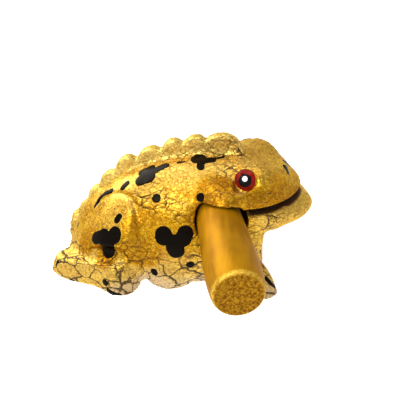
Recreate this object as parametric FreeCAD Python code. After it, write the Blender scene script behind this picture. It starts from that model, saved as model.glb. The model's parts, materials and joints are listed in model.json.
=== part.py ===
"""A carved wooden frog rasp with its striker stick, in millimetres.

The frog is one block of wood: a humped torso with a toothed ridge along its back, a blunt head with two
eye bosses, a sawn mouth slot, folded hind legs and stubby front legs. A cross bore behind the mouth is the
sound chamber, and stores the stick, which is a second piece. Rubbing the stick along the ridge croaks.

Frame: +X towards the nose, +Y to the frog's left, +Z up. The origin is on the flat underside, in the
frog's plane of symmetry, at the middle of its length.
"""

import math
import os

import FreeCAD
import Part

V = FreeCAD.Vector

# ---- driving dimensions -------------------------------------------------------------------------------
BACK_X = 14.0          # the back is highest here, above the shoulders
BACK_REACH = 60.0      # from there back to the rump, half the length of the back's ellipse
BACK_HEIGHT = 45.5     # height of the back, without the ridge
RUMP_X = -45.6         # rear end of the torso
CHEST_X = 30.0         # front face of the chest

RIDGE_THICK = 4.2      # the toothed ridge along the middle of the back

MOUTH_LOW = 29.9       # height of the lower lip
MOUTH_HIGH = 32.9      # height of the upper lip

BORE_X = 14.95         # where the cross bore's axis passes the right cheek
BORE_OUT = 23.0        # how far out that is
BORE_Z = 27.4
BORE_RADIUS = 9.5
STICK_YAW = 10.8       # the bore is drilled this many degrees off square, nearer the nose on the right

STICK_BACK = 0.75      # the stick lies this much behind the bore's axis
STICK_DROP = 0.4       # and this much below it
STICK_EDGE = 0.9       # rounding of the rims of the stick's ends
# the stick's sides from tip to head, as (distance out of the right cheek, radius)
STICK_SIDE = [(-59.0, 6.0), (-30.0, 7.3), (0.0, 8.4), (14.0, 9.1), (27.0, 9.6), (35.0, 9.6), (41.0, 8.5)]

SAWN_OFF = 1.0         # the carving runs this far below the underside, which is then sawn flat

HEEL = (-50.6, 0.0, 6.0)   # the hind foot's top starts this high, over the heel
FOOT_SLOPE = 12.0      # and rises towards the toes by this many degrees

EYE_PLACE = (22.6, -15.3, 41.4)    # middle of the right eye, on its boss
EYE_FACING = (-0.20, -0.84, 0.50)
EYE_RADIUS = 4.3
EYE_DEPTH = 1.7        # depth of the ring groove round the eyeball
EYEBALL_RADIUS = 6.0   # how steeply the eyeball is domed inside that ring
BOSS_RADIUS = 7.5      # the round boss that the eye sits on
BOSS_SUNK = 7.2        # its middle lies this far under the eye's

REACH = 80.0           # the cutting tools reach this far, past every side of the frog


# ---- helpers ------------------------------------------------------------------------------------------
def spline(points, closed=False):
    curve = Part.BSplineCurve()
    curve.interpolate(points, closed)
    return curve.toShape()


def loft(wires):
    return Part.makeLoft(wires, True, False, False)


def ellipsoid(centre, radii, tilt=0.0, swing=0.0):
    """An ellipsoid, tilted nose up about its own Y axis, then swung about the vertical, in degrees."""
    stretch = FreeCAD.Matrix()
    stretch.scale(*radii)
    ball = Part.makeSphere(1.0).transformGeometry(stretch)
    ball.rotate(V(0, 0, 0), V(0, 1, 0), -tilt)
    ball.rotate(V(0, 0, 0), V(0, 0, 1), swing)
    ball.translate(V(*centre))
    return ball


def plan_loft(levels):
    """A solid through closed plan outlines, each given as (height, [(x, y), ...])."""
    return loft([Part.Wire([spline([V(x, y, z) for x, y in outline], True)]) for z, outline in levels])


def between(first, second, share):
    """The outline that lies between two others of as many points."""
    return [(a[0] + (b[0] - a[0]) * share, a[1] + (b[1] - a[1]) * share) for a, b in zip(first, second)]


def mirrored(shape):
    return shape.mirror(V(0, 0, 0), V(0, 1, 0))


def slab(low, high):
    """Everything between two heights."""
    return Part.makeBox(2 * REACH, 2 * REACH, high - low, V(-REACH, -REACH, low))


# ---- torso --------------------------------------------------------------------------------------------
# half a cross section, from the middle of the back to the belly's edge, as shares of width and height
HALF_SECTION = [
    (0.0, 0.99), (0.24, 0.98), (0.50, 0.93), (0.76, 0.78), (0.93, 0.58),
    (1.0, 0.37), (0.99, 0.20), (0.94, 0.07), (0.86, 0.0),
]
SAWN_SHARE = 0.84      # the width where the carving ends, below the underside

# (x, half width, height): behind the shoulders the height follows the back's ellipse
TORSO_STATIONS = [
    (RUMP_X, 9.0, None), (-43.5, 11.5, None), (-39.0, 14.5, None), (-33.0, 18.0, None),
    (-25.0, 21.5, None), (-15.0, 24.0, None), (-5.0, 25.8, None), (5.0, 25.0, None),
    (14.0, 23.4, 44.5), (21.0, 21.6, 40.0), (27.0, 18.5, 34.0), (CHEST_X, 15.0, 28.0),
]


def back_height(x):
    share = min(1.0, abs(x - BACK_X) / BACK_REACH)
    return BACK_HEIGHT * math.sqrt(1.0 - share * share)


def torso_section(x, half_width, height):
    height = height or back_height(x)
    right = [V(x, -half_width * y, height * z) for y, z in HALF_SECTION]
    right.append(V(x, -half_width * SAWN_SHARE, -SAWN_OFF))
    left = [V(p.x, -p.y, p.z) for p in right[1:]]
    over = right[::-1] + left
    return Part.Wire([spline(over), Part.makeLine(over[-1], over[0])])


def torso():
    return loft([torso_section(*station) for station in TORSO_STATIONS])


# the haunches stand out of the rear half of the torso, and end in a steep fold in front
HAUNCH_STATIONS = [
    (-46.0, 11.5, 6.5), (-43.0, 13.8, 11.2), (-38.5, 18.2, 19.2), (-33.0, 22.6, 25.8), (-27.0, 25.8, 31.2),
    (-21.5, 27.2, 34.8), (-17.5, 27.2, 36.2), (-15.4, 26.2, 35.4), (-14.2, 23.5, 32.0),
]


def haunches():
    return loft([torso_section(*station) for station in HAUNCH_STATIONS])


# the flank's lower edge bulges out between the hind and the front leg, in ovals of (height, half length,
# half width)
LOBE_CENTRE = (-4.5, -14.0)
LOBE_LEVELS = [(-SAWN_OFF, 10.3, 12.5), (4.5, 11.0, 12.9), (13.0, 9.0, 11.2)]
OVAL_POINTS = 12


def oval(centre, half_length, half_width):
    angles = [2 * math.pi * point / OVAL_POINTS for point in range(OVAL_POINTS)]
    return [(centre[0] + half_length * math.cos(a), centre[1] + half_width * math.sin(a)) for a in angles]


def belly_lobe():
    return plan_loft([(z, oval(LOBE_CENTRE, *sizes)) for z, *sizes in LOBE_LEVELS])


# ---- head ---------------------------------------------------------------------------------------------
HEAD_REAR = 4.0        # the head's slices start here, inside the torso
REAR_SHARE = 0.6       # and this much of their full width
HEAD_ROUND_X = 16.0    # they taper from here to the tip
TIP_POWER = 0.9        # a little blunter at the tip than an ellipse
SIDE_POWER = 1.1       # and a little flatter along the cheek

# (height, tip, half width): the jaw below the mouth's middle, and the snout above it
JAW_SLICES = [
    (14.0, 33.0, 9.0), (18.0, 41.3, 15.0), (22.0, 46.8, 19.4), (25.5, 48.4, 21.4), (28.4, 45.8, 22.2),
    (31.4, 41.0, 22.6),
]
SNOUT_SLICES = [
    (31.4, 44.0, 22.6), (33.0, 43.9, 22.9), (35.0, 42.2, 23.0), (38.0, 39.4, 21.9), (41.0, 36.6, 18.3),
]

CROWN = {"centre": (20.0, 0.0, 35.5), "radii": (17.5, 16.0, 9.5)}
BROW = {"centre": (27.6, -9.4, 38.1), "radii": (8.0, 8.0, 7.4), "swing": 10.0}
SLICE_STEPS = 7


def head_slice(z, tip, half_width):
    right = [V(HEAD_REAR, -REAR_SHARE * half_width, z)]
    for step in range(SLICE_STEPS + 1):
        a = math.radians(90.0 * step / SLICE_STEPS)
        along = (tip - HEAD_ROUND_X) * math.sin(a) ** TIP_POWER
        right.append(V(HEAD_ROUND_X + along, -half_width * math.cos(a) ** SIDE_POWER, z))
    left = [V(p.x, -p.y, p.z) for p in right[:-1]]
    around = right + left[::-1]
    return Part.Wire([spline(around), Part.makeLine(around[-1], around[0])])


def head():
    jaw = loft([head_slice(*s) for s in JAW_SLICES])
    snout = loft([head_slice(*s) for s in SNOUT_SLICES])
    brow = ellipsoid(**BROW)
    boss = Part.makeSphere(BOSS_RADIUS, V(*EYE_PLACE) - V(*EYE_FACING).normalize() * BOSS_SUNK)
    return jaw.fuse([snout, ellipsoid(**CROWN), brow, mirrored(brow), boss, mirrored(boss)])


def eye_groove():
    """A ring cut round a low dome: what is left inside it is the eyeball."""
    out = V(*EYE_FACING).normalize()
    centre = V(*EYE_PLACE)
    well = Part.makeCylinder(EYE_RADIUS, EYEBALL_RADIUS, centre - out * EYE_DEPTH, out)
    return well.cut(Part.makeSphere(EYEBALL_RADIUS, centre - out * EYEBALL_RADIUS))


# ---- legs ---------------------------------------------------------------------------------------------
# plan outlines of a foot at its base and at its top, and how far the sides have drawn in at a height
# between: (height, share)
FOOT_BASE = [(-50.6, -18.5), (-43.0, -24.0), (-30.0, -28.4), (-24.0, -32.2), (-18.0, -30.5),
             (-15.5, -23.0), (-24.0, -10.0), (-44.0, -8.0)]
FOOT_TOP = [(-45.0, -16.5), (-39.5, -21.5), (-30.0, -26.0), (-23.5, -28.6), (-18.5, -27.0),
            (-17.0, -21.5), (-24.0, -11.0), (-41.0, -9.0)]
FOOT_MIDDLE = (5.0, 0.3)
FOOT_HEIGHT = 14.0

PAW_BASE = [(18.0, -20.0), (21.0, -27.5), (28.5, -31.0), (34.5, -29.5), (36.5, -25.5),
            (33.5, -20.0), (27.0, -14.0), (20.0, -14.0)]
PAW_TOP = [(19.0, -18.5), (21.5, -24.0), (26.0, -26.0), (29.5, -24.5), (31.0, -21.5),
           (29.5, -17.5), (26.0, -13.0), (20.0, -13.0)]
PAW_MIDDLE = (3.5, 0.33)
PAW_HEIGHT = 9.0

ARM = {"centre": (22.0, -14.5, 14.0), "radii": (8.0, 8.0, 15.0), "tilt": -12.0}
ARM_END = 1.0          # the arm ends this high, inside the paw

# the gouged hollow between the haunch and the foot, from the heel almost to the fold in front
HOCK_HOLLOW = {"centre": (-30.5, -25.6, 13.0), "radii": (16.5, 4.5, 3.4), "tilt": FOOT_SLOPE,
               "swing": -20.0}


def foot_block(base, top, middle, height):
    middle_height, share = middle
    return plan_loft([(-SAWN_OFF, base), (middle_height, between(base, top, share)), (height, top)])


def hind_foot():
    above = slab(0.0, REACH)
    above.rotate(V(0, 0, 0), V(0, 1, 0), -FOOT_SLOPE)
    above.translate(V(*HEEL))
    return foot_block(FOOT_BASE, FOOT_TOP, FOOT_MIDDLE, FOOT_HEIGHT).cut(above)


def front_leg():
    arm = ellipsoid(**ARM).common(slab(ARM_END, REACH))
    return foot_block(PAW_BASE, PAW_TOP, PAW_MIDDLE, PAW_HEIGHT).fuse(arm)


# ---- ridge --------------------------------------------------------------------------------------------
# the crest is hand cut into nine teeth, each from the notch in front of it, as (notch x, z, tip x, z)
TEETH = [
    (21.0, 47.2, 13.5, 52.4), (7.6, 49.3, 3.7, 51.3), (-0.9, 47.8, -4.2, 49.4), (-9.0, 44.4, -13.2, 45.8),
    (-18.2, 40.2, -22.4, 41.8), (-27.0, 35.0, -29.6, 35.1), (-33.6, 28.6, -35.4, 28.1),
    (-38.3, 22.7, -40.4, 21.1), (-42.8, 14.4, -44.9, 12.8),
]
CREST_FRONT = (26.0, 44.0)
CREST_END = (-46.8, 6.0)
REAR_SHOULDER = (0.62, 0.86)   # where a tooth's steep rear rounds off, as shares of the way up to its tip
RIDGE_ROOT = [(-30.0, 6.0), (14.0, 30.0)]      # inside the torso


def tooth(front, tip, rear):
    """One tooth's outline: a long slope in front, and a steep rounded rear."""
    shoulder = [low + (high - low) * share for low, high, share in zip(rear, tip, REAR_SHOULDER)]
    return spline([V(x, -RIDGE_THICK / 2, z) for x, z in (front, tip, shoulder, rear)])


def ridge():
    notches = [cut[:2] for cut in TEETH] + [CREST_END]
    teeth = [tooth(cut[:2], cut[2:], rear) for cut, rear in zip(TEETH, notches[1:])]
    around = [CREST_END] + RIDGE_ROOT + [CREST_FRONT, notches[0]]
    inside = Part.makePolygon([V(x, -RIDGE_THICK / 2, z) for x, z in around])
    outline = Part.Wire(teeth + inside.Edges)
    return Part.Face(outline).extrude(V(0, RIDGE_THICK, 0))


# ---- cuts ---------------------------------------------------------------------------------------------
def stick_axis():
    """A point on the bore's axis at the right cheek, and the direction in which the stick pulls out."""
    yaw = math.radians(STICK_YAW)
    return V(BORE_X, -BORE_OUT, BORE_Z), V(math.sin(yaw), -math.cos(yaw), 0)


def cross_bore():
    cheek, out = stick_axis()
    return Part.makeCylinder(BORE_RADIUS, 2 * REACH, cheek - out * REACH, out)


def mouth_slot():
    return Part.makeBox(REACH, 2 * REACH, MOUTH_HIGH - MOUTH_LOW, V(BORE_X, -REACH, MOUTH_LOW))


def frog_body():
    block = torso().fuse([haunches(), head(), ridge()])
    for limb in (belly_lobe(), hind_foot(), front_leg()):
        block = block.fuse([limb, mirrored(limb)])
    block = block.cut([slab(-REACH, 0.0), mouth_slot(), cross_bore()])
    for hollow in (ellipsoid(**HOCK_HOLLOW), eye_groove()):
        block = block.cut([hollow, mirrored(hollow)])
    return block


# ---- striker stick ------------------------------------------------------------------------------------
def striker_stick():
    """A turned stick: a barrel-shaped head, tapering from where it enters the bore to a thin tip."""
    cheek, out = stick_axis()
    side = [V(radius, 0, along) for along, radius in STICK_SIDE]
    tip, head = V(0, 0, side[0].z), V(0, 0, side[-1].z)
    half = Part.Wire([spline(side)] + Part.makePolygon([side[-1], head, tip, side[0]]).Edges)
    stick = Part.Face(half).revolve(V(0, 0, 0), V(0, 0, 1), 360)
    rims = [edge for edge in stick.Edges if isinstance(edge.Curve, Part.Circle)]
    stick = stick.makeFillet(STICK_EDGE, rims)
    place = cheek - V(STICK_BACK, 0, STICK_DROP)
    stick.Placement = FreeCAD.Placement(place, FreeCAD.Rotation(V(0, 0, 1), out))
    return stick


def main():
    os.makedirs("parts", exist_ok=True)
    for name, shape in (("frog_body", frog_body()), ("striker_stick", striker_stick())):
        print(name, "valid", shape.isValid(), "solids", len(shape.Solids), "faces", len(shape.Faces),
              "volume", round(shape.Volume / 1000.0, 2), "cm3")
        shape.exportStep("parts/%s.step" % name)


main()
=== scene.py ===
"""The looks of a carved wooden frog rasp and its striker stick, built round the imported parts.

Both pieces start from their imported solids: the frog is remeshed evenly, softened as a carver's sanding would,
and worked over with tool marks, paint cracks and paint spots. The stick is turned again with more detail.
Lengths in metres, the frame as packed: +X towards the nose, +Y to the frog's left, +Z up.
"""

import json
import math

import bmesh
import bpy
import numpy as np
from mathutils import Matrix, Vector, kdtree, noise


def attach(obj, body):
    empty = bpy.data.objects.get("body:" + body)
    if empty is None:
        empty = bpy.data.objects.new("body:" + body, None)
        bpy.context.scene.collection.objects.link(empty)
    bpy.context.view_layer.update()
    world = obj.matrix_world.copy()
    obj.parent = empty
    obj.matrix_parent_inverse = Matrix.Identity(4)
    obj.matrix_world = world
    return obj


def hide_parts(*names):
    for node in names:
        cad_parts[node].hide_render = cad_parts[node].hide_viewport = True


MM = 0.001
BODY = "frog_body"
STICK = "striker_stick"
BOTH_SIDES = (1, -1)           # the frog's right side as stated below, and its left side mirrored

# ---- sizes of the work ----------------------------------------------------------------------------------
GRID = 0.52 * MM               # the frog's remeshed grid
UNDERSIDE = 0.4 * MM           # below this the wood is sawn flat
LOWER_LIP = 29.9 * MM
UPPER_LIP = 32.9 * MM
BORE_AT = Vector((14.95, -23.0, 27.4)) * MM
BORE_YAW = math.radians(10.8)
BORE_RADIUS = 9.5 * MM
EYE_AT = Vector((22.6, -15.3, 41.4)) * MM
EYE_FACING = Vector((-0.20, -0.84, 0.50)).normalized()
EYE_RADIUS = 4.3 * MM

CAMERA_AIM = Vector((5.4, 0.0, 23.4)) * MM
CAMERA_AZIMUTH = math.radians(4.0)
CAMERA_ELEVATION = math.radians(31.0)
CAMERA_DISTANCE = 300.0 * MM
CAMERA_NEAREST = 10.0 * MM
CAMERA_LENS = 69.66            # focal length and sensor width, which Blender takes in millimetres
CAMERA_SENSOR = 36.0


# ---- small helpers --------------------------------------------------------------------------------------
SEED_STEPS = (7.1, 3.3, 5.7)   # how far the noise is shifted from one seed to the next


def new_object(name, data):
    piece = bpy.data.objects.new(name, data)
    bpy.context.scene.collection.objects.link(piece)
    return piece


def apply_modifiers(piece):
    shaped = piece.evaluated_get(bpy.context.evaluated_depsgraph_get())
    mesh = bpy.data.meshes.new_from_object(shaped)
    piece.modifiers.clear()
    piece.data = mesh


def coordinates(mesh):
    co = np.empty(len(mesh.vertices) * 3)
    mesh.vertices.foreach_get("co", co)
    return co.reshape(-1, 3)


def normals(mesh):
    out = np.empty(len(mesh.vertices) * 3)
    mesh.vertices.foreach_get("normal", out)
    return out.reshape(-1, 3)


def set_coordinates(mesh, co):
    mesh.vertices.foreach_set("co", co.ravel())
    mesh.update()


def set_attribute(mesh, name, values):
    attribute = mesh.attributes.new(name, "FLOAT", "POINT")
    attribute.data.foreach_set("value", values.astype(np.float32))


def ramp(values, start, end):
    """0 at the start, 1 at the end, smooth between; the start may be the larger of the two."""
    t = np.clip((values - start) / (end - start), 0.0, 1.0)
    return t * t * (3.0 - 2.0 * t)


def noise_at(co, wavelength, seed):
    """Smooth noise from -1 to 1 at each point."""
    shift = Vector([seed * step for step in SEED_STEPS])
    return np.array([noise.noise(Vector(p) / wavelength + shift) for p in co])


def smoothed(co, edges, weight, rounds):
    """Each point drawn halfway to the middle of its neighbours, times its weight, some number of times."""
    count = np.bincount(edges.ravel(), minlength=len(co))[:, None]
    for _ in range(rounds):
        total = np.zeros_like(co)
        for axis in range(co.shape[1]):
            total[:, axis] += np.bincount(edges[:, 0], co[edges[:, 1], axis], len(co))
            total[:, axis] += np.bincount(edges[:, 1], co[edges[:, 0], axis], len(co))
        co = co + 0.5 * weight[:, None] * (total / count - co)
    return co


def distance_to_line(co, point, direction):
    """How far each point is from an endless line."""
    offset = co - np.array(point)
    along = offset @ np.array(direction)
    return np.linalg.norm(offset - along[:, None] * np.array(direction), axis=1)


# ---- node helpers ---------------------------------------------------------------------------------------
def add(tree, kind, inputs=None, **settings):
    """One node with its settings, and inputs given as values or as other nodes' sockets."""
    node = tree.nodes.new(kind)
    for key, value in settings.items():
        setattr(node, key, value)
    for key, value in (inputs or {}).items():
        if isinstance(value, bpy.types.NodeSocket):
            tree.links.new(value, node.inputs[key])
        else:
            node.inputs[key].default_value = value
    return node


def maths(tree, operation, a, b=0.0, clamp=False):
    node = add(tree, "ShaderNodeMath", {0: a, 1: b}, operation=operation, use_clamp=clamp)
    return node.outputs[0]


def scaled(tree, value, from_low, from_high, to_low=0.0, to_high=1.0, smooth=False):
    """A number carried from one range to another and held inside it."""
    kind = "SMOOTHSTEP" if smooth else "LINEAR"
    inputs = {"Value": value, "From Min": from_low, "From Max": from_high,
              "To Min": to_low, "To Max": to_high}
    return add(tree, "ShaderNodeMapRange", inputs, interpolation_type=kind).outputs["Result"]


def product(tree, a, b):
    return maths(tree, "MULTIPLY", a, b)


def larger(tree, a, b):
    return maths(tree, "MAXIMUM", a, b)


def weighted_sum(tree, terms):
    """The sum of some sockets, each times its weight."""
    total = 0.0
    for socket, weight in terms:
        total = maths(tree, "ADD", total, product(tree, socket, weight))
    return total


def vector_maths(tree, operation, vector, other):
    """Works on a vector with another vector, or with a number where the operation is SCALE."""
    key = "Scale" if operation == "SCALE" else 1
    return add(tree, "ShaderNodeVectorMath", {0: vector, key: other}, operation=operation).outputs[0]


def component(tree, vector, axis):
    return add(tree, "ShaderNodeSeparateXYZ", {0: vector}).outputs["XYZ".index(axis)]


def noise_node(tree, where, scale, detail, roughness=0.5):
    inputs = {"Vector": where, "Scale": scale, "Detail": detail, "Roughness": roughness}
    return add(tree, "ShaderNodeTexNoise", inputs)


def grey_noise(tree, where, scale, detail, roughness=0.5):
    """Noise as one number, mostly between 0.3 and 0.7."""
    return noise_node(tree, where, scale, detail, roughness).outputs["Fac"]


def mixed(tree, factor, first, second):
    """The first colour where the factor is 0, the second where it is 1."""
    node = add(tree, "ShaderNodeMix", data_type="RGBA")
    for socket, value in ((node.inputs[0], factor), (node.inputs[6], first), (node.inputs[7], second)):
        if isinstance(value, bpy.types.NodeSocket):
            tree.links.new(value, socket)
        else:
            socket.default_value = value
    return node.outputs[2]


def attribute(tree, name):
    """A number stored on the mesh, as a socket in a material."""
    return add(tree, "ShaderNodeAttribute", attribute_name=name).outputs["Fac"]


def stored_number(tree, name):
    """The same, in geometry nodes."""
    node = add(tree, "GeometryNodeInputNamedAttribute", {"Name": name}, data_type="FLOAT")
    return node.outputs["Attribute"]


def object_position(tree):
    return add(tree, "ShaderNodeTexCoord").outputs["Object"]


def bump(tree, height, distance, strength=1.0):
    inputs = {"Strength": strength, "Distance": distance, "Height": height}
    return add(tree, "ShaderNodeBump", inputs).outputs["Normal"]


def new_material(name):
    material = bpy.data.materials.new(name)
    material.use_nodes = True
    material.node_tree.nodes.clear()
    return material, material.node_tree


def finish_material(tree, inputs):
    """Joins the shader, with these inputs, to the material's output."""
    shader = add(tree, "ShaderNodeBsdfPrincipled", inputs)
    output = add(tree, "ShaderNodeOutputMaterial")
    tree.links.new(shader.outputs[0], output.inputs["Surface"])


# ---- the crackle, shared by the frog's relief and its paint -----------------------------------------------
# wide, medium and fine cracks run along the edges of cells: cells to a metre, and the cracks' least and
# greatest width as shares of a cell
CRACKS = [(165.0, 0.006, 0.072), (400.0, 0.004, 0.085), (850.0, 0.03, 0.16)]
CRACK_BED = 0.35                       # the share of a crack's width that is at full depth
WIDTH_CHANGES = 0.6                    # how often the width changes, as a share of how often cells come
CELL_STRETCH = (0.62, 1.0, 1.1)        # space is squeezed by this, so cells are longest from heel to nose
# cracks wander and are jagged: how often in a metre, with how much detail, and how far
CRACK_WANDER = (150.0, 2.0, 3.4 * MM)
CRACK_JITTER = (700.0, 1.0, 1.1 * MM)
# where they run: from and to a height, a length or a level of patchy noise, and how strong they are at each
PATCH_SCALE = 55.0
WIDE_LOW = (19.0 * MM, 9.0 * MM, 0.0, 1.0)
WIDE_PATCHES = (0.58, 0.66, 0.0, 1.0)
MEDIUM_PATCHES = (0.46, 0.60, 0.10, 1.0)
MEDIUM_ON_HEAD = (16.0 * MM, 24.0 * MM, 0.0, 0.65)
# how far the wide, medium and fine cracks are sunk, and the spots raised
CRACK_RELIEF = (-0.24 * MM, -0.10 * MM, -0.05 * MM)
SPOT_RELIEF = 0.10 * MM
SPOT_SHOULDER = (0.25, -0.35)          # millimetres from the spot's edge, from where it starts to rise
RELIEF_ABOVE = (0.3 * MM, 1.0 * MM)    # the relief starts and is complete at these heights


def shifted_by_noise(tree, place, where, scale, detail, reach):
    """A place shifted by noise taken at another place."""
    wander = noise_node(tree, where, scale, detail).outputs["Color"]
    centred = vector_maths(tree, "SUBTRACT", wander, (0.5, 0.5, 0.5))
    return vector_maths(tree, "ADD", place, vector_maths(tree, "SCALE", centred, reach))


def cell_edges(tree, where, cells_at, scale, thin, thick):
    """1 along the edges of a pattern of cells, 0 away from them, wider in some places than in others."""
    inputs = {"Vector": cells_at, "Scale": scale}
    cells = add(tree, "ShaderNodeTexVoronoi", inputs, feature="DISTANCE_TO_EDGE")
    width = scaled(tree, grey_noise(tree, where, scale * WIDTH_CHANGES, 1.0), 0.30, 0.65, thin, thick)
    share = maths(tree, "DIVIDE", cells.outputs["Distance"], width)
    return scaled(tree, share, CRACK_BED, 1.0, 1.0, 0.0, smooth=True)


def crackle(tree, where):
    """Sockets from 0 to 1 for wide, medium and fine cracks at a point, in a material or in geometry nodes."""
    bent = shifted_by_noise(tree, where, where, *CRACK_WANDER)
    jagged = shifted_by_noise(tree, bent, where, *CRACK_JITTER)
    cells_at = vector_maths(tree, "MULTIPLY", jagged, CELL_STRETCH)
    wide, medium, fine = [cell_edges(tree, where, cells_at, *kind) for kind in CRACKS]
    patches = grey_noise(tree, where, PATCH_SCALE, 1.0)
    low = scaled(tree, component(tree, where, "Z"), *WIDE_LOW)
    wide_here = maths(tree, "ADD", low, scaled(tree, patches, *WIDE_PATCHES), clamp=True)
    on_head = scaled(tree, component(tree, where, "X"), *MEDIUM_ON_HEAD)
    medium_here = larger(tree, scaled(tree, patches, *MEDIUM_PATCHES), on_head)
    return product(tree, wide, wide_here), product(tree, medium, medium_here), fine


# ---- the frog's surface ---------------------------------------------------------------------------------
def bore_direction():
    """Along the bore, out of the right cheek."""
    return Vector((math.sin(BORE_YAW), -math.cos(BORE_YAW), 0.0))


def without_specks(mesh):
    """Drops the specks that remeshing leaves apart from the main surface."""
    work = bmesh.new()
    work.from_mesh(mesh)
    unseen = set(work.verts)
    islands = []
    while unseen:
        front = [unseen.pop()]
        island = []
        while front:
            vertex = front.pop()
            island.append(vertex)
            beside = {edge.other_vert(vertex) for edge in vertex.link_edges} & unseen
            unseen -= beside
            front += beside
        islands.append(island)
    specks = [vertex for island in sorted(islands, key=len)[:-1] for vertex in island]
    bmesh.ops.delete(work, geom=specks, context="VERTS")
    work.to_mesh(mesh)
    work.free()


def remeshed(solid, name):
    """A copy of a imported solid's surface as an even grid of small faces."""
    piece = new_object(name, frame["nodes"][solid].data.copy())
    piece.data.materials.clear()
    grid = piece.modifiers.new("grid", "REMESH")
    grid.mode = "VOXEL"
    grid.voxel_size = GRID
    apply_modifiers(piece)
    without_specks(piece.data)
    return piece


# the softening is held back near crisp edges: not at all and fully this near, and how strongly
LIP_KEPT = (0.9 * MM, 0.92)            # above and below the slot, where it is all or nothing
RIM_KEPT = (1.8 * MM, 0.6 * MM, 0.9)   # past the bore's wall
EYE_KEPT = (6.4 * MM, 5.0 * MM, 0.95)  # from the eye's middle
RIDGE_KEPT = 0.7


def at_the_lips(co, margin):
    """True before the bore and within a margin of the mouth slot's height."""
    x, _, z = co.T
    return (x > BORE_AT.x) & (z > LOWER_LIP - margin) & (z < UPPER_LIP + margin)


def sharp_places(co):
    """Near 1 where carved edges stay crisp: the lips, the bore's rims, the eyes and the sawn underside."""
    margin, kept = LIP_KEPT
    keep = at_the_lips(co, margin) * kept
    past_wall = distance_to_line(co, BORE_AT, bore_direction()) - BORE_RADIUS
    outer, inner, kept = RIM_KEPT
    keep = np.maximum(keep, ramp(past_wall, outer, inner) * kept)
    outer, inner, kept = EYE_KEPT
    for side in BOTH_SIDES:
        eye = np.array(EYE_AT) * (1, side, 1)
        keep = np.maximum(keep, ramp(np.linalg.norm(co - eye, axis=1), outer, inner) * kept)
    return np.where(co[:, 2] < UNDERSIDE, 1.0, keep)


def concave(mesh, co, edges):
    """1 in inside corners, 0 on flat ground and outside corners."""
    drawn = smoothed(co, edges, np.ones(len(co)), 2) - co
    return ramp(np.sum(drawn * normals(mesh), axis=1), *INSIDE_CORNER)


# the right side's places where the carver has run one form into the next: (x, y, z, reach), in millimetres
RUN_TOGETHER = [
    (7.5, -19.5, 34.0, 9.0), (27.5, -17.5, 41.0, 6.5), (31.5, -9.5, 42.5, 8.0),
    (23.0, -8.0, 44.5, 6.0), (6.0, -15.0, 40.5, 7.0), (-24.0, -14.0, 33.0, 5.0),
]

# rounds of softening
SANDING_ROUNDS = 3             # everywhere but on the underside
EDGE_ROUNDS = 9                # everywhere but in the sharp places, and less on the ridge
CORNER_ROUNDS = 22             # in inside corners
RUN_TOGETHER_ROUNDS = 130      # in the places above
# two rounds draw a point in an inside corner outwards by this much, and this then spreads to its neighbours
INSIDE_CORNER = (0.004 * MM, 0.03 * MM)
SPREAD_ROUNDS = 4
SPREAD_SHARE = (0.05, 0.4)

# the toothed ridge: half its width, from not at all to fully on it, and likewise its height, and its front
RIDGE_ACROSS = (4.2 * MM, 3.0 * MM)
RIDGE_UP = (5.0 * MM, 8.0 * MM)
RIDGE_FRONT = 25.0 * MM

# the cheek stands furthest out over the stick's hole, at this (x, 0, z) in millimetres
CHEEK = (14.0, 0.0, 37.0)
CHEEK_REACH = 11.0 * MM
CHEEK_SIDE = (12.0 * MM, 19.0 * MM)    # it starts and is complete this far from the frog's middle
CHEEK_OUT = 3.7 * MM
CHEEK_DOWN = 1.1 * MM          # and hangs this far over the hole

# the knife leaves broad shallow facets, and the wood and paint a smaller unevenness: size and height
FACETS = (9.0 * MM, 0.42 * MM)
UNEVEN = (3.2 * MM, 0.11 * MM)
FEWER_AT_SHARP = 0.85
MARKS_ABOVE = (0.3 * MM, 2.5 * MM)     # they start and are complete at these heights

# the cut round the top of the haunch, on the right side, in millimetres
HAUNCH_CUT = [(-33.0, -9.5, 26.5), (-29.4, -9.6, 29.3), (-26.5, -10.5, 31.2), (-23.1, -12.2, 32.5),
              (-20.2, -14.4, 32.7), (-18.0, -16.6, 31.9), (-16.7, -19.0, 29.8), (-16.2, -21.2, 27.0)]
CUT_HALF = 1.7 * MM
CUT_DEPTH = 0.5 * MM


def distance_to_dab(co, start, end, radius):
    """Signed distance from each point to the outline of a dab of paint."""
    run = end - start
    share = np.clip((co - start) @ run / max(run @ run, 1e-12), 0.0, 1.0)
    return np.linalg.norm(co - start - share[:, None] * run, axis=1) - radius


def distance_to_path(co, path):
    """How far each point is from a path of straight runs."""
    return np.min([distance_to_dab(co, start, end, 0.0) for start, end in zip(path, path[1:])], axis=0)


def both_sides(points):
    """Points in millimetres on the frog's right side, and then mirrored to its left, in metres."""
    for side in BOTH_SIDES:
        yield np.array(points) * np.array((1, side, 1)) * MM


def nearest_place(co, places):
    """1 at any of the places on either side, 0 beyond their reach."""
    near = np.zeros(len(co))
    for x, y, z, reach in places:
        for place in both_sides((x, y, z)):
            away = np.linalg.norm(co - place, axis=1)
            near = np.maximum(near, ramp(away, reach * MM, 0.4 * reach * MM))
    return near


def ridge_places(co):
    """1 on the toothed ridge."""
    x, y, z = co.T
    return ramp(np.abs(y), *RIDGE_ACROSS) * ramp(z, *RIDGE_UP) * (x < RIDGE_FRONT)


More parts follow.
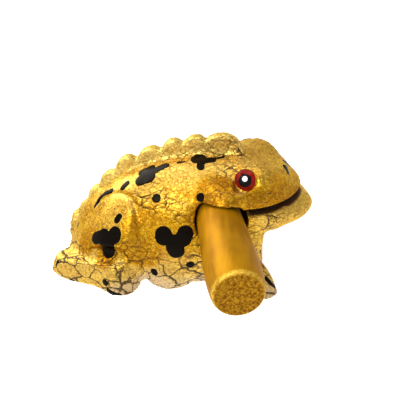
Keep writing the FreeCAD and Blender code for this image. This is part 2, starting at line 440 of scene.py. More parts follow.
def softened(mesh, edges, sharp, ridge):
    """The mesh's points after sanding: least at crisp edges, most where one form runs into the next."""
    co = coordinates(mesh)
    co = smoothed(co, edges, np.where(co[:, 2] < UNDERSIDE, 0.0, 1.0), SANDING_ROUNDS)
    co = smoothed(co, edges, 1.0 - np.maximum(sharp, ridge * RIDGE_KEPT), EDGE_ROUNDS)
    set_coordinates(mesh, co)
    corners = concave(mesh, co, edges)
    corners = smoothed(corners[:, None], edges, np.ones(len(co)), SPREAD_ROUNDS)[:, 0]
    co = smoothed(co, edges, (1.0 - sharp) * ramp(corners, *SPREAD_SHARE), CORNER_ROUNDS)
    run_together = (1.0 - np.maximum(sharp, ridge)) * nearest_place(co, RUN_TOGETHER)
    return smoothed(co, edges, run_together, RUN_TOGETHER_ROUNDS)


def swollen_cheeks(co):
    """The cheeks made to stand out and hang over the stick's holes."""
    flat = co * (1, 0, 1)
    over = ramp(np.linalg.norm(flat - np.array(CHEEK) * MM, axis=1), CHEEK_REACH, 0.0)
    for side in BOTH_SIDES:
        outer = ramp(-side * co[:, 1], *CHEEK_SIDE)
        shift = side * CHEEK_OUT * np.array(bore_direction()) - (0.0, 0.0, CHEEK_DOWN)
        co = co + (over * outer)[:, None] * shift
    return co


def knife_marks(co, sharp):
    """How far each point stands out or in from the knife's work."""
    marks = noise_at(co, FACETS[0], 1) * FACETS[1] + noise_at(co, UNEVEN[0], 2) * UNEVEN[1]
    marks = marks * (1.0 - FEWER_AT_SHARP * sharp) * ramp(co[:, 2], *MARKS_ABOVE)
    for path in both_sides(HAUNCH_CUT):
        marks -= CUT_DEPTH * ramp(distance_to_path(co, path), CUT_HALF, 0.0)
    return marks


def carved_frog():
    """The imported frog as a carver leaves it: sanded, with its cheeks swollen and the knife's marks in it."""
    piece = remeshed(BODY, "carved_frog")
    mesh = piece.data
    edges = np.empty(len(mesh.edges) * 2, np.int32)
    mesh.edges.foreach_get("vertices", edges)
    sharp = sharp_places(coordinates(mesh))
    co = softened(mesh, edges.reshape(-1, 2), sharp, ridge_places(coordinates(mesh)))
    co = swollen_cheeks(co)
    set_coordinates(mesh, co)
    set_coordinates(mesh, co + normals(mesh) * knife_marks(co, sharp)[:, None])
    return piece


# ---- painted spots --------------------------------------------------------------------------------------
# each dab of the brush on the right side runs from one point to another: (x, y, z, x, y, z, radius), in
# millimetres
DABS = [
    # three-lobed spots on the flank, thigh, back and shoulder
    (-6.1, -24.5, 23.0, -6.1, -24.5, 21.9, 3.25), (1.9, -24.7, 24.0, 1.0, -24.7, 21.6, 3.0),
    (-2.0, -25.7, 18.4, -1.6, -25.9, 17.2, 3.3), (-2.3, -25.3, 21.3, -2.3, -25.3, 21.0, 2.2),
    (-29.6, -21.5, 19.2, -32.0, -20.6, 17.6, 2.4), (-28.6, -22.0, 19.6, -29.2, -21.9, 18.6, 2.9),
    (-24.2, -23.2, 21.8, -24.2, -23.4, 20.6, 2.7), (-26.8, -24.0, 17.6, -27.2, -23.2, 15.0, 2.7),
    (-27.2, -22.8, 13.8, -27.2, -22.6, 13.4, 2.8),
    (-15.4, -6.8, 38.8, -12.4, -6.2, 40.0, 1.9), (-15.6, -10.4, 37.3, -12.4, -10.4, 38.5, 2.5),
    (-11.0, -8.4, 40.0, -7.0, -7.0, 41.8, 1.7),
    (4.8, -5.2, 44.0, 5.8, -5.2, 44.0, 2.6), (6.2, -7.0, 43.8, 6.3, -9.6, 43.0, 1.5),
    (7.6, -6.4, 44.0, 10.2, -5.4, 44.1, 1.6), (10.4, -4.8, 44.2, 14.3, -3.6, 45.0, 0.55),
    # round dots
    (-23.6, -20.2, 25.7, -22.9, -19.7, 26.8, 1.35), (-9.1, -17.8, 34.1, -9.1, -17.8, 34.1, 1.7),
    (7.4, -19.2, 36.1, 7.4, -19.2, 36.1, 1.75), (-9.8, -25.1, 6.6, -9.8, -25.1, 6.6, 1.6),
    (3.6, -25.1, 10.6, 3.6, -25.1, 10.6, 1.6), (-27.9, -29.3, 3.9, -27.6, -29.3, 3.9, 1.35),
    # dashes along the back
    (-22.5, -10.3, 33.8, -21.1, -9.2, 35.0, 1.25), (-27.3, -8.6, 31.3, -30.1, -7.4, 29.3, 1.1),
    (-30.1, -7.4, 29.3, -32.0, -7.9, 27.5, 0.95), (-32.0, -7.9, 27.5, -33.8, -9.7, 24.9, 0.75),
    (-2.3, -6.2, 42.8, 0.0, -6.4, 43.2, 0.6), (19.2, -3.4, 45.4, 21.1, -3.4, 45.6, 0.3),
    (-41.8, -8.4, 14.2, -40.8, -8.4, 15.9, 0.35),
    # heel, sole, hind toe and front paw
    (-48.6, -18.9, 3.3, -47.6, -18.9, 5.3, 0.6), (-43.5, -24.5, 0.5, -40.8, -25.5, 0.5, 0.3),
    (-26.6, -30.6, 1.4, -24.3, -31.5, 0.8, 0.9), (-24.3, -31.5, 0.8, -21.8, -32.0, 0.5, 0.6),
    (31.6, -25.9, 6.1, 33.1, -26.2, 4.3, 0.9), (33.1, -26.2, 4.3, 34.9, -25.4, 2.2, 0.8),
    # nostril
    (37.4, -2.0, 40.0, 38.2, -2.9, 38.8, 1.35),
]
SPOT_FAR = 4.0 * MM            # no distance to a spot is stored past this
SPOT_NEAR = 2.0 * MM           # within this, the spots' edges are ragged
SPOT_RAGS = (1.3 * MM, 0.16 * MM)      # the size and depth of the rags

# the right side's creases, where the gold is painted darker as painted shade: (x, y, z, reach), in millimetres
PAINTED_SHADE_PLACES = [
    (14.0, -26.0, 37.0, 10.0), (-17.5, -26.0, 27.0, 7.0), (-13.0, -24.0, 14.0, 7.0),
    (27.0, -20.0, 36.0, 6.0), (-38.0, -19.0, 15.0, 7.0), (-28.0, -24.0, 12.0, 6.0),
    (12.0, -24.0, 16.0, 6.0), (12.0, -19.0, 41.0, 9.0), (-17.0, -26.0, 17.0, 7.0),
]

# the bare walls inside, coloured near black as bare wood in painted shade, and the paint round their edges
WALL_MARGIN = 0.5 * MM                 # the walls' points lie within this of where the walls are stated
WALL_LEVEL = (0.75, 0.95)              # how level a face is, from not at all to fully the slot's wall
WALL_INWARD = (0.45, 0.85)             # and how much it faces the bore's axis, to be the bore's wall
LIP_PAINT = (0.1 * MM, 1.1 * MM)       # the paint starts and stops giving way to the walls this far in
SNOUT = (34.0 * MM, 42.0 * MM)         # the snout starts and is complete at these lengths
SNOUT_PAINT = 2.2 * MM                 # the paint reaches this much further in there

# the places painted paler, each with its strength: the ridge by half width, height and length, with rubbed wear
# and a painted sky reflection; the jaw by length and height, and low on the sides by height, with painted light
# from below
RIDGE_WEAR_AND_SHEEN = (0.85, (4.0 * MM, 2.2 * MM), (8.0 * MM, 14.0 * MM), (24.0 * MM, 20.0 * MM))
JAW_SHEEN = (0.5, (22.0 * MM, 30.0 * MM), (30.5 * MM, 29.5 * MM))
LOW_SHEEN = (0.55, (20.0 * MM, 8.0 * MM))


def nearest_on_surface(piece, point):
    _, place, _, _ = piece.closest_point_on_mesh(Vector(point))
    return np.array(place)


def mark_spots(piece):
    """Stores each point's distance in millimetres to the nearest spot's edge, negative inside."""
    co = coordinates(piece.data)
    nearest = np.full(len(co), SPOT_FAR)
    for dab in DABS:
        for ends in both_sides((dab[:3], dab[3:6])):
            start, end = [nearest_on_surface(piece, point) for point in ends]
            nearest = np.minimum(nearest, distance_to_dab(co, start, end, dab[6] * MM))
    near = nearest < SPOT_NEAR
    nearest[near] += noise_at(co[near], SPOT_RAGS[0], 5) * SPOT_RAGS[1]
    set_attribute(piece.data, "spot", nearest / MM)


def slot_walls(co, out):
    """1 on the mouth slot's flat walls, but for the lips, which the paint covers."""
    in_slot = at_the_lips(co, WALL_MARGIN)
    walls = in_slot * ramp(np.abs(out[:, 2]), *WALL_LEVEL)
    lips = kdtree.KDTree(len(co))
    for index in np.nonzero(in_slot & (walls < 0.05))[0]:
        lips.insert(co[index], int(index))
    lips.balance()
    for index in np.nonzero(walls)[0]:
        covered = SNOUT_PAINT * ramp(co[index][0], *SNOUT)
        from_lips = lips.find(co[index])[2]
        walls[index] *= ramp(from_lips, covered + LIP_PAINT[0], covered + LIP_PAINT[1])
    return walls


def mark_inside(piece):
    """Stores 1 on the walls of the mouth slot and the bore, 0 outside."""
    co, out = coordinates(piece.data), normals(piece.data)
    from_bore = distance_to_line(co, BORE_AT, bore_direction())
    from_axis = (co - np.array(BORE_AT)) * (1, 0, 1)
    inward = -np.sum(out * from_axis, axis=1) / np.maximum(np.linalg.norm(from_axis, axis=1), 1e-6)
    bore = (from_bore < BORE_RADIUS + WALL_MARGIN) * ramp(inward, *WALL_INWARD)
    set_attribute(piece.data, "inside", np.maximum(slot_walls(co, out), bore))


def mark_wear_and_sheen(piece):
    """Stores up to 1 where the gold is painted paler: wear and a painted sky sheen on the ridge, painted light
    under the jaw and low on the sides.
    """
    x, y, z = coordinates(piece.data).T
    strength, across, up, along = RIDGE_WEAR_AND_SHEEN
    ridge = strength * ramp(np.abs(y), *across) * ramp(z, *up) * ramp(x, *along)
    strength, along, up = JAW_SHEEN
    jaw = strength * ramp(x, *along) * ramp(z, *up)
    strength, up = LOW_SHEEN
    low = strength * ramp(z, *up)
    set_attribute(piece.data, "wear_and_sheen", np.max([ridge, jaw, low], axis=0))


def mark_painted_shade(piece):
    """Stores 1 in the creases, where shade is painted into the gold, 0 elsewhere."""
    set_attribute(piece.data, "painted_shade", nearest_place(coordinates(piece.data), PAINTED_SHADE_PLACES))


def relief(piece):
    """Sinks the paint's cracks into the surface and raises its spots, with geometry nodes."""
    tree = bpy.data.node_groups.new("relief", "GeometryNodeTree")
    tree.interface.new_socket("Geometry", in_out="INPUT", socket_type="NodeSocketGeometry")
    tree.interface.new_socket("Geometry", in_out="OUTPUT", socket_type="NodeSocketGeometry")
    start = add(tree, "NodeGroupInput")
    where = add(tree, "GeometryNodeInputPosition").outputs[0]
    dab = scaled(tree, stored_number(tree, "spot"), *SPOT_SHOULDER, smooth=True)
    covered = larger(tree, dab, stored_number(tree, "inside"))
    bare = maths(tree, "SUBTRACT", 1.0, covered, clamp=True)
    sunk = weighted_sum(tree, zip(crackle(tree, where), CRACK_RELIEF))
    lift = weighted_sum(tree, ((product(tree, sunk, bare), 1.0), (dab, SPOT_RELIEF)))
    # the underside stays flat
    lift = product(tree, lift, scaled(tree, component(tree, where, "Z"), *RELIEF_ABOVE))
    normal = add(tree, "GeometryNodeInputNormal").outputs[0]
    offset = vector_maths(tree, "SCALE", normal, lift)
    moved = add(tree, "GeometryNodeSetPosition", {"Geometry": start.outputs[0], "Offset": offset})
    end = add(tree, "NodeGroupOutput")
    tree.links.new(moved.outputs[0], end.inputs[0])
    piece.modifiers.new("relief", "NODES").node_group = tree
    apply_modifiers(piece)


# ---- materials ------------------------------------------------------------------------------------------
# gold paint: its two tones, and where it has painted sheen and wear, painted shade in creases, glitter,
# dullness, or a paler, less metallic tone low down
GOLD_DARK = (0.47, 0.185, 0.002, 1)
GOLD_LIGHT = (0.67, 0.355, 0.006, 1)
GOLD_SHEEN_AND_WEAR = (0.86, 0.61, 0.16, 1)
GOLD_PAINTED_SHADE = (0.36, 0.125, 0.002, 1)
GOLD_GLITTER = (0.98, 0.76, 0.08, 1)
GOLD_DULL = (0.36, 0.14, 0.003, 1)
GOLD_PALE_LOW = (0.62, 0.45, 0.25, 1)
# what shows in the wide, medium and fine cracks, and how strongly
CRACK_TINTS = [
    ((0.022, 0.008, 0.003, 1), 0.92),
    ((0.11, 0.035, 0.004, 1), 0.72),
    ((0.30, 0.12, 0.006, 1), 0.45),
]
INSIDE_WOOD_AND_SHADE = (0.06, 0.018, 0.005, 1)
SPOT_BLACK = (0.003, 0.002, 0.002, 1)
# how the wide, medium and fine cracks, and the grain, show in the bump
GILT_BUMPS = (-1.0, -0.6, -0.35, 0.6)
GILT_BUMP_DEPTH = 0.28 * MM
GILT_TINT = (1.0, 0.8, 0.4, 1)
GILT_METAL = 0.85
PALE_LOW_METAL = 0.35                      # the paler gold low down keeps this share of the metal's look
GILT_ROUGH = (0.24, 0.38)              # in fine and in coarse grain
DULL_ROUGHER = 0.15
SPOT_ROUGHER = -0.18
GILT_SHINE = (0.4, 0.06)               # of gold, and of what isn't gold
MEDIUM_DULLS = 0.6                     # how much a medium crack dulls the gold, where a wide one takes it all
CLOUD_NOISE = (70.0, 3.0, 0.6)         # scale, detail and roughness
GRAIN_NOISE = (900.0, 4.0, 0.65)
# from and to a level of grain, and how strong each is there
GLITTER = (0.50, 0.68, 0.0, 0.45)
DULLING = (0.48, 0.30, 0.0, 0.60)
PAINTED_SHADE_STRENGTH = 0.65
PALE_LOW_STRENGTH = 0.75
# how strongly the upward faces get the painted sky sheen, from the neck to the snout
SHEEN_ALONG = (20.0 * MM, 28.0 * MM, 0.70, 0.40)
SHEEN_SLOPE = (0.45, 1.0)             # from and to how far a face looks up
SHEEN_CLOUDS = (-0.15, 0.15)
# the gold turns paler and less metallic between these heights, where a place counts as higher by clouds, and at
# the heel
PALE_LOW_BETWEEN = (12.5 * MM, 6.5 * MM)
PALE_LOW_CLOUDS = 9.0 * MM
PALE_LOW_AT_HEEL = (-29.0 * MM, -24.0 * MM, 6.0 * MM, 0.0)

OCHRE_DARK = (0.25, 0.105, 0.0006, 1)
OCHRE_LIGHT = (0.38, 0.175, 0.001, 1)
OCHRE_CLOUD = (0.44, 0.21, 0.002, 1)
OCHRE_RIM_SHEEN = (0.85, 0.55, 0.08, 1)
SAWN_DARK = (0.15, 0.05, 0.001, 1)
SAWN_LIGHT = (0.48, 0.24, 0.012, 1)
OCHRE_TINT = (1.0, 0.6, 0.1, 1)
OCHRE_SHINE = 0.2
OCHRE_ROUGH = (0.42, 0.52)             # between and on the streaks
OCHRE_METAL = (0.45, 0.35)             # of the sides and the ends, as for the bumps
OCHRE_BUMPS = (0.10, 0.9)
OCHRE_BUMP_DEPTH = 0.25 * MM
END_ROUGHER = 0.2
STREAK_STRETCH = (1.0, 0.12, 1.0)      # space is squeezed across the frog, the way the stick lies
STREAK_NOISE = (420.0, 4.0, 0.6)       # scale, detail and roughness
OCHRE_CLOUD_NOISE = (90.0, 2.0)
SPECKLE_NOISE = (1100.0, 3.0, 0.75)

EYE_RED_DARK = (0.10, 0.003, 0.002, 1)
EYE_RED_LIGHT = (0.30, 0.010, 0.004, 1)
EYE_RIM = (0.05, 0.012, 0.006, 1)
EYE_PUPIL = (0.004, 0.003, 0.003, 1)
EYE_GLINT = (0.95, 0.95, 0.95, 1)
BRUSH_NOISE = (700.0, 2.0)             # scale and detail
BRUSH_WOBBLE = 0.03                    # how far the brush strays, as a share of the eye's radius
# soft edges from and to a share of the eye's radius, and of the glint's own
RIM_EDGE = (0.90, 0.97)
PUPIL_EDGE = (0.60, 0.56)
GLINT_EDGE = (1.05, 0.95)

FLOOR_WHITE = (0.8, 0.8, 0.8, 1)


def gold_tones(tree, where, clouds, grain):
    """The gold before it cracks, and 1 where it turns paler and less metallic low down: cloudy, grainy, with
    painted sheen on upward faces and in the places marked for wear and sheen, and painted shade in creases.
    """
    length, height = component(tree, where, "X"), component(tree, where, "Z")
    painted_shade = attribute(tree, "painted_shade")
    # painted sheen: upward faces are painted paler, standing in for the bright sky reflecting in them
    upwards = component(tree, add(tree, "ShaderNodeNewGeometry").outputs["Normal"], "Z")
    sheen_and_wear = maths(tree, "ADD", upwards, scaled(tree, clouds, 0.3, 0.7, *SHEEN_CLOUDS))
    most = scaled(tree, length, *SHEEN_ALONG)
    sheen_and_wear = product(tree, scaled(tree, sheen_and_wear, *SHEEN_SLOPE), most)
    sheen_and_wear = larger(tree, sheen_and_wear, attribute(tree, "wear_and_sheen"))
    sheen_and_wear = maths(tree, "SUBTRACT", sheen_and_wear, painted_shade, clamp=True)
    gold = mixed(tree, scaled(tree, clouds, 0.38, 0.64), GOLD_DARK, GOLD_LIGHT)
    gold = mixed(tree, sheen_and_wear, gold, GOLD_SHEEN_AND_WEAR)
    # painted shade: the gold darkened in the creases listed above
    gold = mixed(tree, product(tree, painted_shade, PAINTED_SHADE_STRENGTH), gold, GOLD_PAINTED_SHADE)
    gold = mixed(tree, scaled(tree, grain, *GLITTER), gold, GOLD_GLITTER)
    gold = mixed(tree, scaled(tree, grain, *DULLING), gold, GOLD_DULL)
    # the gold turns paler and less metallic towards the bottom, by height, clouds and the heel
    at_heel = scaled(tree, length, *PALE_LOW_AT_HEEL)
    raised = weighted_sum(tree, ((height, 1.0), (clouds, PALE_LOW_CLOUDS), (at_heel, 1.0)))
    thin = scaled(tree, raised, *PALE_LOW_BETWEEN, smooth=True)
    return mixed(tree, product(tree, thin, PALE_LOW_STRENGTH), gold, GOLD_PALE_LOW), thin


def gilt_paint():
    """Gold paint over dark wood, crazed all over, paler towards the feet, with glossy black spots, painted
    shade in creases and on the inner walls, and painted sheen above.
    """
    material, tree = new_material("crackled_gilt")
    where = object_position(tree)
    cracks = crackle(tree, where)
    clouds = grey_noise(tree, where, *CLOUD_NOISE)
    grain = grey_noise(tree, where, *GRAIN_NOISE)
    inside = attribute(tree, "inside")
    black = scaled(tree, attribute(tree, "spot"), 0.05, -0.05)
    colour, thin = gold_tones(tree, where, clouds, grain)
    for crack, (tint, strength) in reversed(list(zip(cracks, CRACK_TINTS))):
        colour = mixed(tree, product(tree, crack, strength), colour, tint)
    # painted shade: the slot's and bore's walls coloured near black
    colour = mixed(tree, inside, colour, INSIDE_WOOD_AND_SHADE)
    colour = mixed(tree, black, colour, SPOT_BLACK)
    wide, medium, _ = cracks
    cracked = larger(tree, wide, product(tree, medium, MEDIUM_DULLS))
    not_gold = larger(tree, inside, black)
    dull = larger(tree, not_gold, cracked)
    metal = scaled(tree, dull, 0.0, 1.0, GILT_METAL, 0.0)
    metal = product(tree, metal, scaled(tree, thin, 0.0, 1.0, 1.0, PALE_LOW_METAL))
    rough = scaled(tree, grain, 0.3, 0.7, *GILT_ROUGH)
    rough = weighted_sum(tree, ((rough, 1.0), (dull, DULL_ROUGHER), (black, SPOT_ROUGHER)))
    height = weighted_sum(tree, zip((*cracks, grain), GILT_BUMPS))
    height = product(tree, height, maths(tree, "SUBTRACT", 1.0, black))
    finish_material(tree, {
        "Base Color": colour, "Metallic": metal, "Roughness": rough, "Specular Tint": GILT_TINT,
        "Specular IOR Level": scaled(tree, not_gold, 0.0, 1.0, *GILT_SHINE),
        "Normal": bump(tree, height, GILT_BUMP_DEPTH)})
    return material


def ochre_paint():
    """Ochre-gold paint on turned wood, streaked along the stick, rough and speckled on its sawn ends."""
    material, tree = new_material("ochre_paint")
    where = object_position(tree)
    end = attribute(tree, "end_grain")
    rim = attribute(tree, "rim")
    along = add(tree, "ShaderNodeMapping", {"Vector": where, "Scale": STREAK_STRETCH}).outputs[0]
    streaks = grey_noise(tree, along, *STREAK_NOISE)
    clouds = grey_noise(tree, where, *OCHRE_CLOUD_NOISE)
    speckle = grey_noise(tree, where, *SPECKLE_NOISE)
    paint = mixed(tree, scaled(tree, streaks, 0.35, 0.65), OCHRE_DARK, OCHRE_LIGHT)
    paint = mixed(tree, scaled(tree, clouds, 0.35, 0.7, 0.0, 0.5), paint, OCHRE_CLOUD)
    # rubbed wear and a painted highlight: the head's rim painted brighter
    sheen_and_wear = product(tree, rim, scaled(tree, speckle, 0.4, 0.6, 0.1, 0.8))
    paint = mixed(tree, sheen_and_wear, paint, OCHRE_RIM_SHEEN)
    sawn = mixed(tree, scaled(tree, speckle, 0.40, 0.62), SAWN_DARK, SAWN_LIGHT)
    rough = scaled(tree, streaks, 0.3, 0.7, *OCHRE_ROUGH)
    height = mixed(tree, end, streaks, speckle)
    finish_material(tree, {
        "Base Color": mixed(tree, end, paint, sawn),
        "Metallic": scaled(tree, end, 0.0, 1.0, *OCHRE_METAL),
        "Roughness": weighted_sum(tree, ((rough, 1.0), (end, END_ROUGHER))),
        "Specular IOR Level": OCHRE_SHINE, "Specular Tint": OCHRE_TINT,
        "Normal": bump(tree, height, OCHRE_BUMP_DEPTH, scaled(tree, end, 0.0, 1.0, *OCHRE_BUMPS))})
    return material


def eye_paint():
    """A red ring round a black pupil with a white glint, with a slight gloss."""
    material, tree = new_material("painted_eye")
    brush = grey_noise(tree, object_position(tree), *BRUSH_NOISE)
    wobble = scaled(tree, brush, 0.3, 0.7, -BRUSH_WOBBLE, BRUSH_WOBBLE)
    radius = maths(tree, "ADD", attribute(tree, "eye_radius"), wobble)
    colour = mixed(tree, scaled(tree, brush, 0.35, 0.65), EYE_RED_DARK, EYE_RED_LIGHT)
    colour = mixed(tree, scaled(tree, radius, *RIM_EDGE), colour, EYE_RIM)
    colour = mixed(tree, scaled(tree, radius, *PUPIL_EDGE), colour, EYE_PUPIL)
    colour = mixed(tree, scaled(tree, attribute(tree, "glint"), *GLINT_EDGE), colour, EYE_GLINT)
    finish_material(tree, {"Base Color": colour, "Roughness": 0.25, "Specular IOR Level": 0.12})
    return material


def plain_floor():
    """Matt, and lit a little from itself, so that it comes out nearly white."""
    material, tree = new_material("pale_floor")
    finish_material(tree, {"Base Color": FLOOR_WHITE, "Roughness": 0.9,
                           "Emission Color": FLOOR_WHITE, "Emission Strength": 0.95})
    return material


# ---- eyes -----------------------------------------------------------------------------------------------
EYE_CROWN = 0.45 * MM          # how far the dome's top stands out from the eye's middle
EYE_CURVE = 6.2 * MM           # the dome's radius of curvature
EYE_GAP = 0.15 * MM            # how much narrower than the eye the dome is, all round
EYE_ROOT = 2.6 * MM            # how far behind the eye's middle the piece comes to a point
EYE_RINGS = 22
EYE_SEGMENTS = 72
GLINT_ACROSS = 0.02            # the glint's middle and size, as shares of the eye's radius
GLINT_UP = 0.13
GLINT_RADIUS = 0.23
FAR_FROM_GLINT = 9.0           # in its own radii, for the sunk point


def eyeball(name, side):
    """A low painted dome that fills the ring groove round the carved eyeball, closed to a point behind."""
    out = Vector((EYE_FACING.x, EYE_FACING.y * side, EYE_FACING.z))
    centre = Vector((EYE_AT.x, EYE_AT.y * side, EYE_AT.z))
    across = out.cross(Vector((0, 0, 1))).normalized()
    up = across.cross(out)
    verts, radii = [centre + out * EYE_CROWN], [0.0]
    for ring in range(1, EYE_RINGS + 1):
        share = ring / EYE_RINGS
        radius = share * (EYE_RADIUS - EYE_GAP)
        height = EYE_CROWN - (radius ** 2) / (2 * EYE_CURVE)
        for k in range(EYE_SEGMENTS):
            a = 2 * math.pi * k / EYE_SEGMENTS
            verts.append(centre + out * height + (across * math.cos(a) + up * math.sin(a)) * radius)
            radii.append(share)
    glint_at = centre + (across * GLINT_ACROSS + up * GLINT_UP) * EYE_RADIUS
    flat = [v - out * (v - centre).dot(out) for v in verts]
    glints = [(v - glint_at).length / (GLINT_RADIUS * EYE_RADIUS) for v in flat]
    after = [(k, (k + 1) % EYE_SEGMENTS) for k in range(EYE_SEGMENTS)]
    faces = [(0, 1 + k, 1 + n) for k, n in after]
    for ring in range(EYE_RINGS - 1):
        low, high = 1 + ring * EYE_SEGMENTS, 1 + (ring + 1) * EYE_SEGMENTS
        faces += [(low + k, high + k, high + n, low + n) for k, n in after]
    rim, back = 1 + (EYE_RINGS - 1) * EYE_SEGMENTS, len(verts)
    faces += [(rim + n, rim + k, back) for k, n in after]
    mesh = bpy.data.meshes.new(name)
    mesh.from_pydata(verts + [centre - out * EYE_ROOT], [], faces)
    mesh.polygons.foreach_set("use_smooth", [True] * len(faces))
    set_attribute(mesh, "eye_radius", np.array(radii + [1.0]))
    set_attribute(mesh, "glint", np.array(glints + [FAR_FROM_GLINT]))
    mesh.update()
    return new_object(name, mesh)


# ---- stick ----------------------------------------------------------------------------------------------
# the stick's sides from tip to head, as (distance along the stick, radius), in millimetres
STICK_SIDE = [(0.0, 6.0), (29.0, 7.3), (59.0, 8.4), (73.0, 9.1), (86.0, 9.6), (94.0, 9.6), (100.0, 8.5)]
STICK_EDGE = 0.9 * MM          # the radius of its rounded rims
STICK_EASE = 6.0 * MM          # its corners are eased over this far each way
STICK_SEGMENTS = 160
SIDE_STEPS = 150
END_STEPS = 24
RIM_STEPS = 6
SIDE_UNEVEN = (14.0 * MM, 0.10 * MM)   # the size and depth of its unevenness
SAW_MARKS = (0.9 * MM, 0.45 * MM)      # the sizes of the saw's marks on its ends, and their depth
SAW_DEPTH = 0.13 * MM
RIM_SHEEN_AT = 0.8 * MM           # the head's rim is painted brightest this far from its end, as rubbed wear and a painted highlight
RIM_SHEEN_REACH = (1.6 * MM, 0.2 * MM)    # and not at all and fully this far from there


def stick_axis():
    """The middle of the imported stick's tip end, and the direction from there to its head."""
    direction = Vector(frame["joints"][0]["axis"]).normalized()
    co = coordinates(frame["nodes"][STICK].data)
    along = co @ np.array(direction)
    return Vector(co[along < along.min() + 0.05 * MM].mean(0)), direction


def side_radius(t):
    """The stick's radius at a distance along it: the sides above, with their corners eased."""
    at, radius = np.array(STICK_SIDE).T * MM
    window = min(STICK_EASE, t, at[-1] - t)
    return float(np.interp(t + np.linspace(-window, window, 9), at, radius).mean())


def stick_outline():
    """The outline from the middle of one end to the middle of the other: (radius, along, end grain)."""
    length = STICK_SIDE[-1][0] * MM
    outline = []
    for at, sign in ((0.0, 1), (length, -1)):
        rim = side_radius(at)
        flat = [((rim - STICK_EDGE) * k / END_STEPS, at, 1.0) for k in range(1, END_STEPS + 1)]
        turns = [math.pi / 2 * k / RIM_STEPS for k in range(1, RIM_STEPS + 1)]
        bend = [(rim - STICK_EDGE * (1 - math.sin(a)), at + sign * STICK_EDGE * (1 - math.cos(a)),
                 max(0.0, 1.0 - a)) for a in turns]
        outline.append(flat + bend)
    inner = [STICK_EDGE + (length - 2 * STICK_EDGE) * k / SIDE_STEPS for k in range(1, SIDE_STEPS)]
    return outline[0] + [(side_radius(t), t, 0.0) for t in inner] + outline[1][::-1]


def lathe(outline, start, direction, segments):
    """Points and faces of an outline turned about an axis, closed by a middle point at each end."""
    upwards = Vector((0, 0, 1))
    sideways = direction.cross(upwards).normalized()
    turns = [2 * math.pi * k / segments for k in range(segments)]
    arms = [upwards * math.cos(a) + sideways * math.sin(a) for a in turns]
    verts = [start + direction * t + arm * radius for radius, t, _ in outline for arm in arms]
    verts += [start + direction * outline[0][1], start + direction * outline[-1][1]]
    after = [(k, (k + 1) % segments) for k in range(segments)]
    faces = []
    for ring in range(len(outline) - 1):
        low, high = ring * segments, (ring + 1) * segments
        faces += [(low + k, low + n, high + n, high + k) for k, n in after]
    last = (len(outline) - 1) * segments
    faces += [(len(verts) - 2, n, k) for k, n in after]
    faces += [(len(verts) - 1, last + k, last + n) for k, n in after]
    return verts, faces


def turned_stick():
    """The stick turned again: slightly uneven sides, rounded rims, and rough sawn ends."""
    start, direction = stick_axis()
    outline = stick_outline()
    verts, faces = lathe(outline, start, direction, STICK_SEGMENTS)
    end_grain = np.repeat([end for _, _, end in outline], STICK_SEGMENTS)
    from_head = np.repeat([outline[-1][1] - t for _, t, _ in outline], STICK_SEGMENTS)
    # and the middle points of the tip and the head
    end_grain = np.append(end_grain, (1.0, 1.0))
    from_head = np.append(from_head, (outline[-1][1], 0.0))
    mesh = bpy.data.meshes.new("turned_stick")
    mesh.from_pydata(verts, [], faces)
    mesh.polygons.foreach_set("use_smooth", [True] * len(faces))
    mesh.update()
    co, out = coordinates(mesh), normals(mesh)
    uneven = noise_at(co, SIDE_UNEVEN[0], 8) * SIDE_UNEVEN[1] * (1 - end_grain)
    # most of the marks lie below the end's plane, so the stick hardly grows
    marks = noise_at(co, SAW_MARKS[0], 9) + 0.6 * noise_at(co, SAW_MARKS[1], 10) - 0.8
    set_coordinates(mesh, co + out * (uneven + marks * SAW_DEPTH * end_grain)[:, None])
    set_attribute(mesh, "end_grain", end_grain)
    set_attribute(mesh, "rim", ramp(np.abs(from_head - RIM_SHEEN_AT), *RIM_SHEEN_REACH))
    return new_object("turned_stick", mesh)


# ---- stage ----------------------------------------------------------------------------------------------
# name, place, size of the square light, and power in watts
LIGHTS = [
    ("key_light", (-0.24, -0.38, 0.44), 0.36, 2.6),
    ("back_light", (-0.45, 0.35, 0.40), 0.50, 4.2),
    ("top_light", (0.0, 0.05, 0.60), 0.50, 1.4),
]
# the white world round the object: how strong it is from below and above, and behind and before the frog
WORLD_UPWARDS = (1.70, 0.22)
WORLD_FORWARDS = (1.08, 1.05)
FLOOR_HALF = 3.0
FLOOR_HEIGHT = -0.02 * MM      # just under the frog, so the two surfaces don't meet


def area_light(name, place, size, power):
    """A square light that shines at the middle of the view."""
    data = bpy.data.lights.new(name, "AREA")
    data.size = size
    data.energy = power
    light = new_object(name, data)
    light.location = place
    light.rotation_euler = (CAMERA_AIM - Vector(place)).to_track_quat("-Z", "Y").to_euler()


def studio_world():
    """White light from all round, stronger from below, as off a white table."""
    world = bpy.data.worlds.new("studio")
    world.use_nodes = True
    tree = world.node_tree
    direction = add(tree, "ShaderNodeTexCoord").outputs["Generated"]
    upwards = scaled(tree, component(tree, direction, "Z"), -1.0, 1.0, *WORLD_UPWARDS)
    forwards = scaled(tree, component(tree, direction, "X"), -1.0, 1.0, *WORLD_FORWARDS)
    background = tree.nodes["Background"]
    tree.links.new(product(tree, upwards, forwards), background.inputs["Strength"])
    background.inputs["Color"].default_value = (1.0, 1.0, 1.0, 1)
    bpy.context.scene.world = world


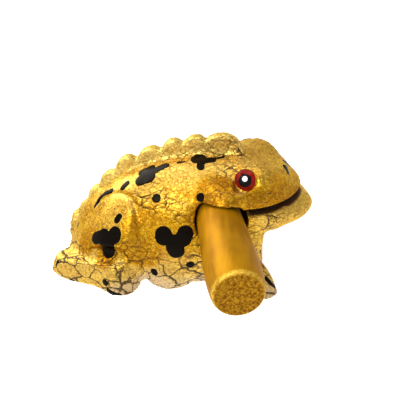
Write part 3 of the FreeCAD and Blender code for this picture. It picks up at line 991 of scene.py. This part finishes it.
def floor():
    """A wide plate that neither lights nor mirrors in the object."""
    corners = [(-1, -1), (1, -1), (1, 1), (-1, 1)]
    mesh = bpy.data.meshes.new("floor")
    mesh.from_pydata([(x * FLOOR_HALF, y * FLOOR_HALF, 0) for x, y in corners], [], [(0, 1, 2, 3)])
    mesh.materials.append(plain_floor())
    piece = new_object("floor", mesh)
    piece.location.z = FLOOR_HEIGHT
    piece.visible_diffuse = False
    piece.visible_glossy = False


def camera():
    """Looks down at the frog's right side from a little towards its nose."""
    data = bpy.data.cameras.new("camera")
    data.lens = CAMERA_LENS
    data.sensor_width = CAMERA_SENSOR
    data.clip_start = CAMERA_NEAREST
    piece = new_object("camera", data)
    level = math.cos(CAMERA_ELEVATION)
    forward = Vector((-math.sin(CAMERA_AZIMUTH) * level, math.cos(CAMERA_AZIMUTH) * level,
                      -math.sin(CAMERA_ELEVATION)))
    piece.location = CAMERA_AIM - forward * CAMERA_DISTANCE
    piece.rotation_euler = forward.to_track_quat("-Z", "Y").to_euler()
    bpy.context.scene.camera = piece


# ---- putting it together --------------------------------------------------------------------------------
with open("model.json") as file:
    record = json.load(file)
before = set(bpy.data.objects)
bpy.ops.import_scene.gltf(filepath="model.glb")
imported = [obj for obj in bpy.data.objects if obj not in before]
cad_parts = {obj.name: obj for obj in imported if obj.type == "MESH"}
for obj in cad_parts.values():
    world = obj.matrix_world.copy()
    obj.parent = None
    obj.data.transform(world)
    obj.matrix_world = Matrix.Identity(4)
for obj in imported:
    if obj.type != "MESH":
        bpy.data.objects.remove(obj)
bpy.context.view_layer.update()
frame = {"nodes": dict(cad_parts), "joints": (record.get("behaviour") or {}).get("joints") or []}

camera()
for light in LIGHTS:
    area_light(*light)
studio_world()
floor()
bpy.context.scene.view_settings.view_transform = "Standard"

frog = carved_frog()
mark_spots(frog)
mark_inside(frog)
mark_wear_and_sheen(frog)
mark_painted_shade(frog)
relief(frog)
frog.data.polygons.foreach_set("use_smooth", [True] * len(frog.data.polygons))
frog.data.materials.append(gilt_paint())
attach(frog, "frog")
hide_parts(BODY)

eye_material = eye_paint()
for eye_name, eye_side in (("right_eye", 1), ("left_eye", -1)):
    eye = eyeball(eye_name, eye_side)
    eye.data.materials.append(eye_material)
    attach(eye, "frog")

stick = turned_stick()
stick.data.materials.append(ochre_paint())
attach(stick, "stick")
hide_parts(STICK)
